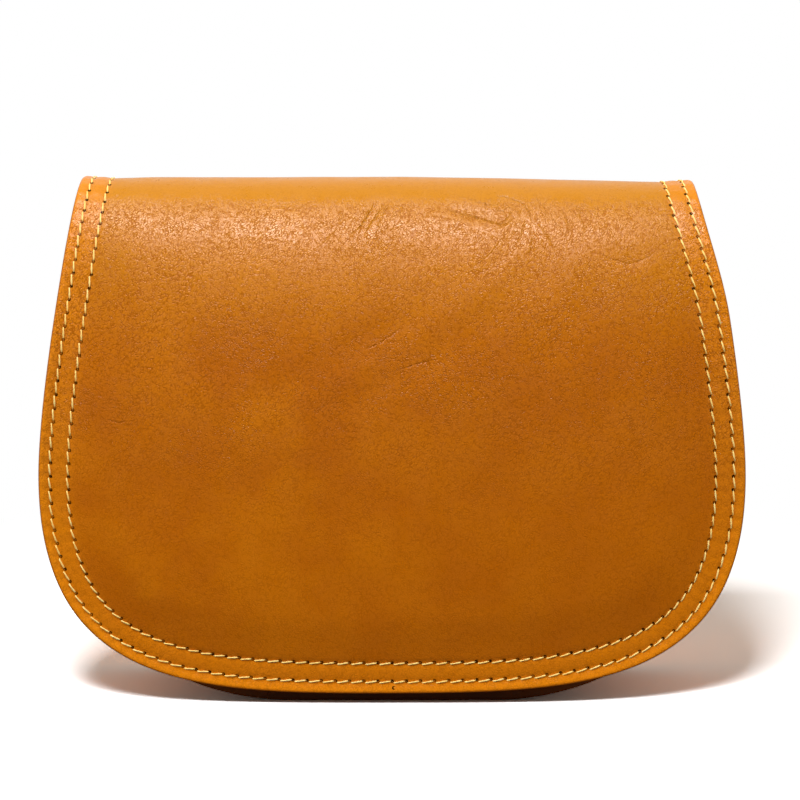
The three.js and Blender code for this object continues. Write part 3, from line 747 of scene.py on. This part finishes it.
def stitch_row(surface, start, end, row, pitch=PITCH, slant=1.0):
    """Threads and holes of one row from start to end along t, at a distance row from the edge."""
    count = max(1, round((end - start) / pitch))
    holes = np.linspace(start, end, count + 1)
    gap = holes[1] - holes[0]
    u = np.linspace(0, 1, STITCH_SAMPLES)
    t = holes[:-1, None] + gap * (0.07 + 0.88 * u)[None]
    uneven_by = 0.1 * np.sin(holes[:-1] * 12.9898)[:, None]
    d = row + slant * lerp(-0.46, 0.2, u)[None] + uneven_by + 0 * t
    lift = np.tile(-0.42 + 0.66 * np.sin(np.pi * np.clip(u, 0.001, 0.999)) ** 0.45, (count, 1))
    flat = (t.ravel(), d.ravel())
    centres, above = (surface(*flat, lift.ravel() + up).reshape(count, STITCH_SAMPLES, 3) for up in (0, 1))
    radii = THREAD / 2 * np.sin(np.pi * lerp(0.14, 0.86, u)) ** 0.35
    threads = tube(centres, above - centres, radii, THREAD_TWIST)
    return threads, awl_holes(surface, holes, np.full(count + 1, row + 0.24 * slant))


def stitches(name, rows):
    """One object of thread and one of holes for several rows."""
    for part, (suffix, material) in enumerate((("stitches", thread), ("holes", awl_hole))):
        vertices, faces, base = [], [], 0
        for v, f in (row[part] for row in rows if row[part]):
            vertices.append(v)
            faces += [[i + base for i in face] for face in f]
            base += len(v)
        piece(new_object(f"{name}_{suffix}", np.concatenate(vertices), faces, [material]), "leather")


# The flap

FLAP_INSETS = [0, 0.12, 0.32, 0.62, 1.0, 1.6, 2.3, 3.0, 3.6, 4.2, 4.9, 5.6, 6.4, 7.2, 8.0, 8.7, 9.3, 9.8]
FLAP_INSETS += [10.2, 10.7, 11.4, 12.3, 13.3, 14.5, 16]
EDGE_ROUND = 1.0


def flap_face(x, s, d, t, drift):
    """Height of the whole outer face, with its rounded edge, its puckers and its seam on the back."""
    gap = FLAP_LENGTH - s
    seam_rows = -INNER_DENT * (bump(gap, OUTER_ROW, ROW_WIDTH) + bump(gap, INNER_ROW, ROW_WIDTH))
    near_seam = seam_rows * smooth(d, INNER_ROW, INNER_ROW + 1)
    flatten = -0.8 * PAD_HEIGHT * (1 - smooth(gap, 3, 18)) * smooth(d, INNER_ROW, INNER_ROW + 7)
    relief = flap_relief(x, s, d, t) + puckers(d, t, drift) * smooth(gap, 2, 8)
    return relief + near_seam + flatten - fillet(np.minimum(d, gap), EDGE_ROUND)


def flap_surface(t, d, lift):
    x, s = flap_edge.point(t, d).T
    return flap_point(x, s, flap_relief(x, s, d, t) + lift)


def seam_surface(x, d, lift):
    s = FLAP_LENGTH - d
    edge_d = FLAP_SEAM_WIDTH / 2 - np.abs(x)
    return flap_point(x, s, flap_face(x, s, edge_d, 0 * x, 0 * x) + lift)


grid = Sheet(flap_edge, FLAP_INSETS, 1.25)
flat = np.stack([grid.x, grid.s, 0 * grid.x], -1)
drift = soft_noise(np.stack([grid.t, 0 * grid.t, 0 * grid.t], -1), 13, 3)
wave = soft_noise(flat, 46, 1) * 0.42 + soft_noise(flat, 17, 2) * 0.1
face = flap_face(grid.x, grid.s, grid.d, grid.t, drift) + wave * smooth(grid.d, 9, 26)
rest = flap_point(grid.x, grid.s, face)
on_front = smooth(grid.s, 0, 4) * (1 - smooth(grid.s, 176, 196))
face = face - flap_creases(rest[:, 0], rest[:, 2]) * on_front * smooth(grid.d, 11, 18)
outer = flap_point(grid.x, grid.s, face)
inner = flap_point(grid.x, grid.s, -FLAP_THICKNESS + fillet(np.minimum(grid.d, FLAP_LENGTH - grid.s), 0.7))
# Leather pulled over the fold is lighter and yellower, partly its own colour and partly painted top light. Its grain
# opens up in front of the fold and lies flat on top.
marks = crease_attributes(rest[:, 0], rest[:, 2], on_front)
for key, low, high in (("pull_and_top_light", 0.62, 1.03), ("taut", 0.94, 0.985), ("crinkle", 0.2, 0.8)):
    marks[key] = smooth(rest[:, 2] / FLAP_HEIGHT, low, high)
leathers = [face_leather, flesh, edge_paint]
flap = piece(sheet_object("flap_leather", grid, outer, inner, leathers, marks), "leather", "flap")

seam_half = FLAP_SEAM_WIDTH / 2 - INNER_ROW - 2.4
stray = awl_holes(flap_surface, np.array([0.6]), np.array([2.1]))
stitches(
    "flap",
    [stitch_row(flap_surface, -side_end, side_end, row) for row in (OUTER_ROW, INNER_ROW)]
    + [(None, stray)]
    + [stitch_row(seam_surface, -seam_half, seam_half, row) for row in (OUTER_ROW, INNER_ROW)],
)


# The walls of the body

PANEL_INSETS = [0, 0.12, 0.32, 0.6, 0.9, 1.6, 2.4, 3.2, 4.0, 4.8, 5.8, 7, 8.5, 10.5, 13, 16]


def wall(name, top, wall_y, out, seed):
    """A wall of the body with a sewn rim. out is -1 where its face looks to the front."""
    edge = body_outline(top)
    grid = Sheet(edge, PANEL_INSETS, 2.4)
    wave = 0.3 * soft_noise(np.stack([grid.x, grid.s, 0 * grid.x], -1), 38, seed)
    wave = wave * smooth(grid.d, 9, 30) * smooth(top - grid.s, 4, 20)
    rim = np.minimum(grid.d, top - grid.s)
    height = wave - WALL_ROW_DEPTH * bump(rim, WALL_ROW, ROW_WIDTH) - fillet(rim, 0.7)
    y = wall_y(grid.s, grid.d)
    face = np.stack([grid.x, y + SHIFT + out * height, grid.s], -1)
    hidden = np.stack([grid.x, y + SHIFT - out * (PANEL_THICKNESS - fillet(rim, 0.5)), grid.s], -1)
    # The grid runs anticlockwise seen from the front, so a wall that looks to the back is built inside out
    order = (face, hidden) if out < 0 else (hidden, face)
    materials = [body_leather, flesh, edge_paint] if out < 0 else [flesh, body_leather, edge_paint]
    piece(sheet_object(f"{name}_leather", grid, *order, materials), "leather", name)

    def laid(x, z, d, row_d, lift):
        """A point of the face, d from the outline and row_d from the edge that the stitches follow."""
        y = wall_y(z, d) + SHIFT + out * (lift - WALL_ROW_DEPTH * bump(row_d, WALL_ROW, ROW_WIDTH))
        return np.stack([x, y, z], -1)

    def surface(t, d, lift):
        x, z = edge.point(t, d).T
        return laid(x, z, d, d, lift)

    def mouth(x, d, lift):
        return laid(x, top - d, BODY_TOP_WIDTH / 2 - np.abs(x), d, lift)

    across = BODY_TOP_WIDTH / 2 - 9
    rows = [stitch_row(surface, -edge.reach + 3, edge.reach - 3, WALL_ROW)]
    if out < 0:
        rows.append(stitch_row(mouth, -across, across, WALL_ROW))
    stitches(name, rows)


wall("front_panel", FRONT_HEIGHT, front_wall_y, -1, 11)
wall("back_panel", BACK_HEIGHT, back_wall_y, 1, 12)


# The gusset: a channel swept round the body's outline, open outwards

SAG_AT_BASE, SAG_FROM = 0.15, 0.2
FLANGE_SHARES = (0, 0.02, 0.06, 0.2, 0.38, 0.5, 0.62)
FLANGE_BEND, WEB_BEND = 2.2, 5.0


def web_inset(z):
    """How far in from the body's outline the middle of the gusset lies at a height."""
    return RIM + GUSSET_SAG * lerp(SAG_AT_BASE, 1, smooth(z, SAG_FROM * FRONT_HEIGHT, FRONT_HEIGHT))


def gusset_section(z):
    """The visible face of the channel as (inset, y) points, and the same number of points on its hidden face."""
    front = front_rim_y(z) + PANEL_THICKNESS + CLEARANCE + GUSSET_THICKNESS
    back = BACK_Y - PANEL_THICKNESS - CLEARANCE - GUSSET_THICKNESS
    middle, web, flat = (front_rim_y(z) + BACK_Y) / 2, web_inset(z), TAB_WIDTH / 2 + 2
    c = [(0, front), (RIM, front), (web, middle - flat), (web, middle + flat), (RIM, back), (0, back)]
    c = [np.array(corner, float) for corner in c]
    line = [c[0] + (c[1] - c[0]) * u for u in FLANGE_SHARES]
    for i, radius in ((1, FLANGE_BEND), (2, WEB_BEND), (3, WEB_BEND), (4, FLANGE_BEND)):
        before, after = (c[i] + (c[k] - c[i]) / np.linalg.norm(c[k] - c[i]) * radius for k in (i - 1, i + 1))
        for u in np.linspace(0, 1, 6):
            line.append(before * (1 - u) ** 2 + 2 * c[i] * u * (1 - u) + after * u * u)
    line += [c[5] + (c[4] - c[5]) * u for u in FLANGE_SHARES[::-1]]
    line = np.array(line)
    step = np.gradient(line, axis=0)
    step /= np.linalg.norm(step, axis=1, keepdims=True)
    # Drawn thick enough to close the gap that the solids keep between their rims
    hidden = line + (GUSSET_THICKNESS + CLEARANCE) * np.stack([step[:, 1], -step[:, 0]], -1)
    edge = np.array([0.35, 0.12, 0.02] + [0] * (len(line) - 6) + [0.02, 0.12, 0.35])[:, None]
    return lerp(line, hidden, edge), lerp(hidden, line, edge)


gusset_edge = body_outline(FRONT_HEIGHT)
t_values = gusset_edge.corner + uneven(gusset_edge.reach - gusset_edge.corner, 2.6, (1.0, 0.5, 0.2, 0.06))
t_values = np.concatenate([np.linspace(0, gusset_edge.corner, 34)[:-1], t_values])
t_values = np.concatenate([-t_values[::-1][:-1], t_values])
ends = fillet(gusset_edge.reach - np.abs(t_values), 0.5)
shown, hidden = [], []
for t, drop in zip(t_values, ends):
    sections = gusset_section(float(gusset_edge.point(np.array([t]))[0, 1]))
    for faces, section, other in zip((shown, hidden), sections, sections[::-1]):
        section = lerp(section, other, drop / GUSSET_THICKNESS)
        p = gusset_edge.point(np.full(len(section), t), section[:, 0])
        faces.append(np.stack([p[:, 0], section[:, 1] + SHIFT, p[:, 1]], -1))
shown, hidden = np.array(shown), np.array(hidden)
rows_count, across_count, _ = shown.shape
ripple = soft_noise(shown.reshape(-1, 3), 24, 5).reshape(rows_count, across_count) * 0.35
window = np.sin(np.pi * np.linspace(0, 1, across_count)) ** 2
web = np.array([gusset_edge.point(np.full(2, t), np.array([0.0, 1.0])) for t in t_values])
inward = web[:, 1] - web[:, 0]
shown[:, :, 0] += inward[:, None, 0] * ripple * window
shown[:, :, 2] += inward[:, None, 1] * ripple * window
index = np.arange(rows_count * across_count).reshape(rows_count, across_count)
quads, size = grid_quads(index), index.size
rim = np.concatenate([index[0], index[1:, -1], index[-1, -2::-1], index[-2:0:-1, 0]])
rim_quads = np.stack([rim, np.roll(rim, -1), np.roll(rim, -1) + size, rim + size], -1)
faces = np.concatenate([quads[:, ::-1], quads + size, rim_quads])
slots = [0] * len(quads) + [1] * len(quads) + [2] * len(rim_quads)
vertices = np.concatenate([shown.reshape(-1, 3), hidden.reshape(-1, 3)])
gusset = new_object("gusset_leather", vertices, faces, [body_leather, flesh, edge_paint], slots)
piece(gusset, "leather", "gusset")


# Strap tabs and rings

def tab_seat():
    """Where a tab sits on the gusset: its top point, the way out of the web, its lean and how far it stands off."""
    t = gusset_edge.reach - np.linspace(TAB_LENGTH + 12, 0, 60)
    z = gusset_edge.point(t, np.full(60, float(RIM)))[:, 1]
    web = gusset_edge.point(t, web_inset(z))
    top = web[-1]
    low = web[np.argmin(np.abs(web[:, 1] - (top[1] - TAB_LENGTH)))]
    along = (top - low) / np.linalg.norm(top - low)
    outward = np.array([along[1], -along[0]])
    inside = web[web[:, 1] >= low[1]]
    stand = max(0, float(((inside - low) @ outward).max())) + CLEARANCE
    return top, outward, math.atan2(along[0], along[1]), stand


def place_tab(points, side):
    """From a tab's own frame (out, across, up) to the bag's, in millimetres."""
    top, outward, lean, stand = tab_seat()
    points = np.asarray(points, float)
    middle = (float(front_rim_y(FRONT_HEIGHT)) + BACK_Y) / 2
    x = points[..., 0] * math.cos(lean) + points[..., 2] * math.sin(lean) + top[0] + outward[0] * stand
    z = -points[..., 0] * math.sin(lean) + points[..., 2] * math.cos(lean) + top[1] + outward[1] * stand
    return np.stack([x * side, middle + SHIFT + points[..., 1] * side, z], -1)


HEAD = RING_WIRE / 2 + CLEARANCE + TAB_PLY
BAR_RISE, TAB_HALF_PLY, TAB_PITCH = 1, 0.7, 2.8
RING_SIDES = 18


def tab_line():
    """The centreline of the tab's strip: up the inside, round the ring's bar, and down the outside."""
    middle, x_out = HEAD - TAB_PLY / 2, 1.5 * TAB_PLY
    angles = np.linspace(math.pi, -0.42 * math.pi, 26)
    turn = [(HEAD + middle * math.cos(a), HEAD + BAR_RISE + middle * math.sin(a)) for a in angles]
    inside = [(TAB_PLY / 2, z) for z in np.linspace(-TAB_LENGTH, HEAD - 1, 30)]
    outside = [(x_out, z) for z in np.linspace(-1.2, -TAB_LENGTH, 30)]
    (x, z), (x_end, z_end) = turn[-1], outside[0]
    bridge = bezier((x, z), (x - 1.4, z - 0.9), (x_end, z_end + 1.6), (x_end, z_end), 7)[1:-1]
    return np.array(inside + turn + bridge.tolist() + outside)


def make_tab(side, suffix):
    line = tab_line()
    step = np.gradient(line, axis=0)
    step /= np.linalg.norm(step, axis=1, keepdims=True)
    normal = np.stack([-step[:, 1], step[:, 0]], -1)
    half = TAB_WIDTH / 2
    rounding = ((0, 0.08), (0.12, 0.02), (0.4, 0))
    section = [(inset - half, drop - TAB_HALF_PLY) for inset, drop in rounding]
    section += [(half - inset, drop - TAB_HALF_PLY) for inset, drop in rounding[::-1]]
    section += [(y, -h) for y, h in section[::-1]]
    vertices = [[(p[0] + n[0] * h, y, p[1] + n[1] * h) for y, h in section] for p, n in zip(line, normal)]
    index = rings(len(line), len(section))
    faces = grid_quads(index).tolist() + [index[0, -2::-1].tolist(), index[-1, :-1].tolist()]
    if side > 0:
        faces = [f[::-1] for f in faces]
    placed = place_tab(np.array(vertices).reshape(-1, 3), side)
    piece(new_object(f"strap_tab_{suffix}_leather", placed, faces, [body_leather]), "leather", f"strap_tab_{suffix}")

    def surface(t, d, lift):
        return place_tab(np.stack([2 * TAB_PLY - 0.05 + lift, t, -TAB_LENGTH + d], -1), side)

    def upright(t, d, lift):
        return surface(d, t, lift)

    edge, low, high = half - 2.2, 2.5, 15.5
    rows = [stitch_row(surface, -edge, edge, d, TAB_PITCH, 0.3) for d in (low, high)]
    rows += [stitch_row(upright, low, high, y, TAB_PITCH, 0.3) for y in (-edge, edge)]
    stitches(f"strap_tab_{suffix}", rows)


def make_ring(side, suffix):
    half, rise, corner = (RING_INNER_WIDTH + RING_WIRE) / 2, RING_INNER_HEIGHT + RING_WIRE, RING_WIRE
    path = []
    for cx, cz, rx, rz, a, b, steps in (
        (half - corner, corner, corner, corner, -0.5, 0, 8),
        (0, corner, half, rise - corner, 1 / 14, 13 / 14, 40),
        (-half + corner, corner, corner, corner, 1, 1.5, 8),
    ):
        angles = [math.pi * lerp(a, b, i / steps) for i in range(steps + 1)]
        path += [(cx + rx * math.cos(angle), cz + rz * math.sin(angle)) for angle in angles]
    path = np.array(path)
    along = np.roll(path, -1, 0) - np.roll(path, 1, 0)
    along /= np.linalg.norm(along, axis=1, keepdims=True)
    a = 2 * np.pi * np.arange(RING_SIDES) / RING_SIDES
    out, across = RING_WIRE / 2 * np.cos(a)[None], RING_WIRE / 2 * np.sin(a)[None]
    xs = HEAD + across + 0 * path[:, :1]
    ys = path[:, :1] + along[:, 1:] * out
    zs = HEAD + BAR_RISE + path[:, 1:] - along[:, :1] * out
    index = rings(len(path), RING_SIDES)
    faces = grid_quads(np.concatenate([index, index[:1]]).T)
    placed = place_tab(np.stack([xs, ys, zs], -1).reshape(-1, 3), side)
    piece(new_object(f"strap_ring_{suffix}_metal", placed, faces, [brass]), "metal", f"strap_ring_{suffix}")


for side, suffix in ((1, "right"), (-1, "left")):
    make_tab(side, suffix)
    make_ring(side, suffix)

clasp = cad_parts["clasp"]
clasp.data.materials.clear()
clasp.data.materials.append(brass)


# Floor, light and camera

n = new_material("floor")
shares = ((4.3, 0.4, 0.015), (4.35, 0.33, 0.015), (4.4, 0.25, 0.015))
card = n.add("ShaderNodeBsdfDiffuse", {"Color": n.rgb(n.by_ray(*channel) for channel in shares)})
depth = n.add("ShaderNodeSeparateXYZ", {0: n.where}).outputs["Y"]
strength = n.by_ray(1.0, 0.2, n.range(depth, 0.1, 0.6, 0.015, 0.7))
glow = n.add("ShaderNodeEmission", {"Color": (1, 1, 1, 1), "Strength": strength})
away = n.vector("LENGTH", n.where, output="Value")
blend = n.add("ShaderNodeMixShader", {0: n.range(away, 0.22, 0.42), 1: card.outputs[0], 2: glow.outputs[0]})
n.add("ShaderNodeOutputMaterial", {"Surface": blend.outputs[0]})
corners = [(-9000, -9000, 0), (9000, -9000, 0), (9000, 9000, 0), (-9000, 9000, 0)]
floor = new_object("floor", corners, [[0, 1, 2, 3]], [n.owner])


def area_light(name, place, target, size, energy):
    data = bpy.data.lights.new(name, "AREA")
    data.shape, data.size, data.size_y, data.energy = "RECTANGLE", size[0], size[1], energy
    made = bpy.data.objects.new(name, data)
    made.location = place
    made.rotation_euler = (Vector(target) - Vector(place)).to_track_quat("-Z", "Y").to_euler()
    bpy.context.scene.collection.objects.link(made)
    return made


# A softbox above and fills behind and beside light only the bag. The light in front also throws the shadow on the
# floor. Only the softbox shows in reflections.
lights = [
    area_light("softbox", (-0.08, -0.35, 1.2), (0, 0, 0.1), (0.6, 0.34), 7.4),
    area_light("back_fill", (0.15, 1.2, 0.9), (0, 0, 0.08), (0.8, 0.8), 9.5),
    area_light("left_fill", (-1.2, -0.25, 0.6), (0, 0, 0.08), (0.5, 0.7), 5.5),
    area_light("right_fill", (1.2, -0.25, 0.6), (0, 0, 0.08), (0.5, 0.7), 5.5),
]
unlit = bpy.data.collections.new("lit_by_the_front_light_alone")
unlit.objects.link(floor)
unlit.collection_objects[0].light_linking.link_state = "EXCLUDE"
for light in lights:
    light.light_linking.receiver_collection = unlit
front_fill = area_light("front_fill", (-0.18, -1.14, 1.1), (0, 0, 0.08), (0.38, 0.38), 13.0)
for light in (front_fill, *lights[1:]):
    light.visible_glossy = False

world = bpy.data.worlds.new("studio")
n = Nodes(world)
facing = n.add("ShaderNodeSeparateXYZ", {0: n.add("ShaderNodeTexCoord").outputs["Generated"]}).outputs["Y"]
behind = n.range(facing, 0.2, 0.9, 0.02, 0.7, smoothly=False)
shade = n.rgb(n.by_ray(1.0, diffuse, behind) for diffuse in (0.112, 0.099, 0.086))
n.add("ShaderNodeOutputWorld", {"Surface": n.add("ShaderNodeBackground", {"Color": shade}).outputs[0]})
bpy.context.scene.world = world
bpy.context.scene.view_settings.view_transform = "Standard"

camera = bpy.data.objects.new("camera", bpy.data.cameras.new("camera"))
elevation, distance, aim = math.radians(7), 1.6, Vector((0.0027, 0, 0.0998))
camera.location = aim + distance * Vector((0, -math.cos(elevation), math.sin(elevation)))
camera.rotation_euler = (aim - camera.location).to_track_quat("-Z", "Y").to_euler()
camera.data.sensor_width, camera.data.lens = 36, 209
bpy.context.scene.collection.objects.link(camera)
bpy.context.scene.camera = camera
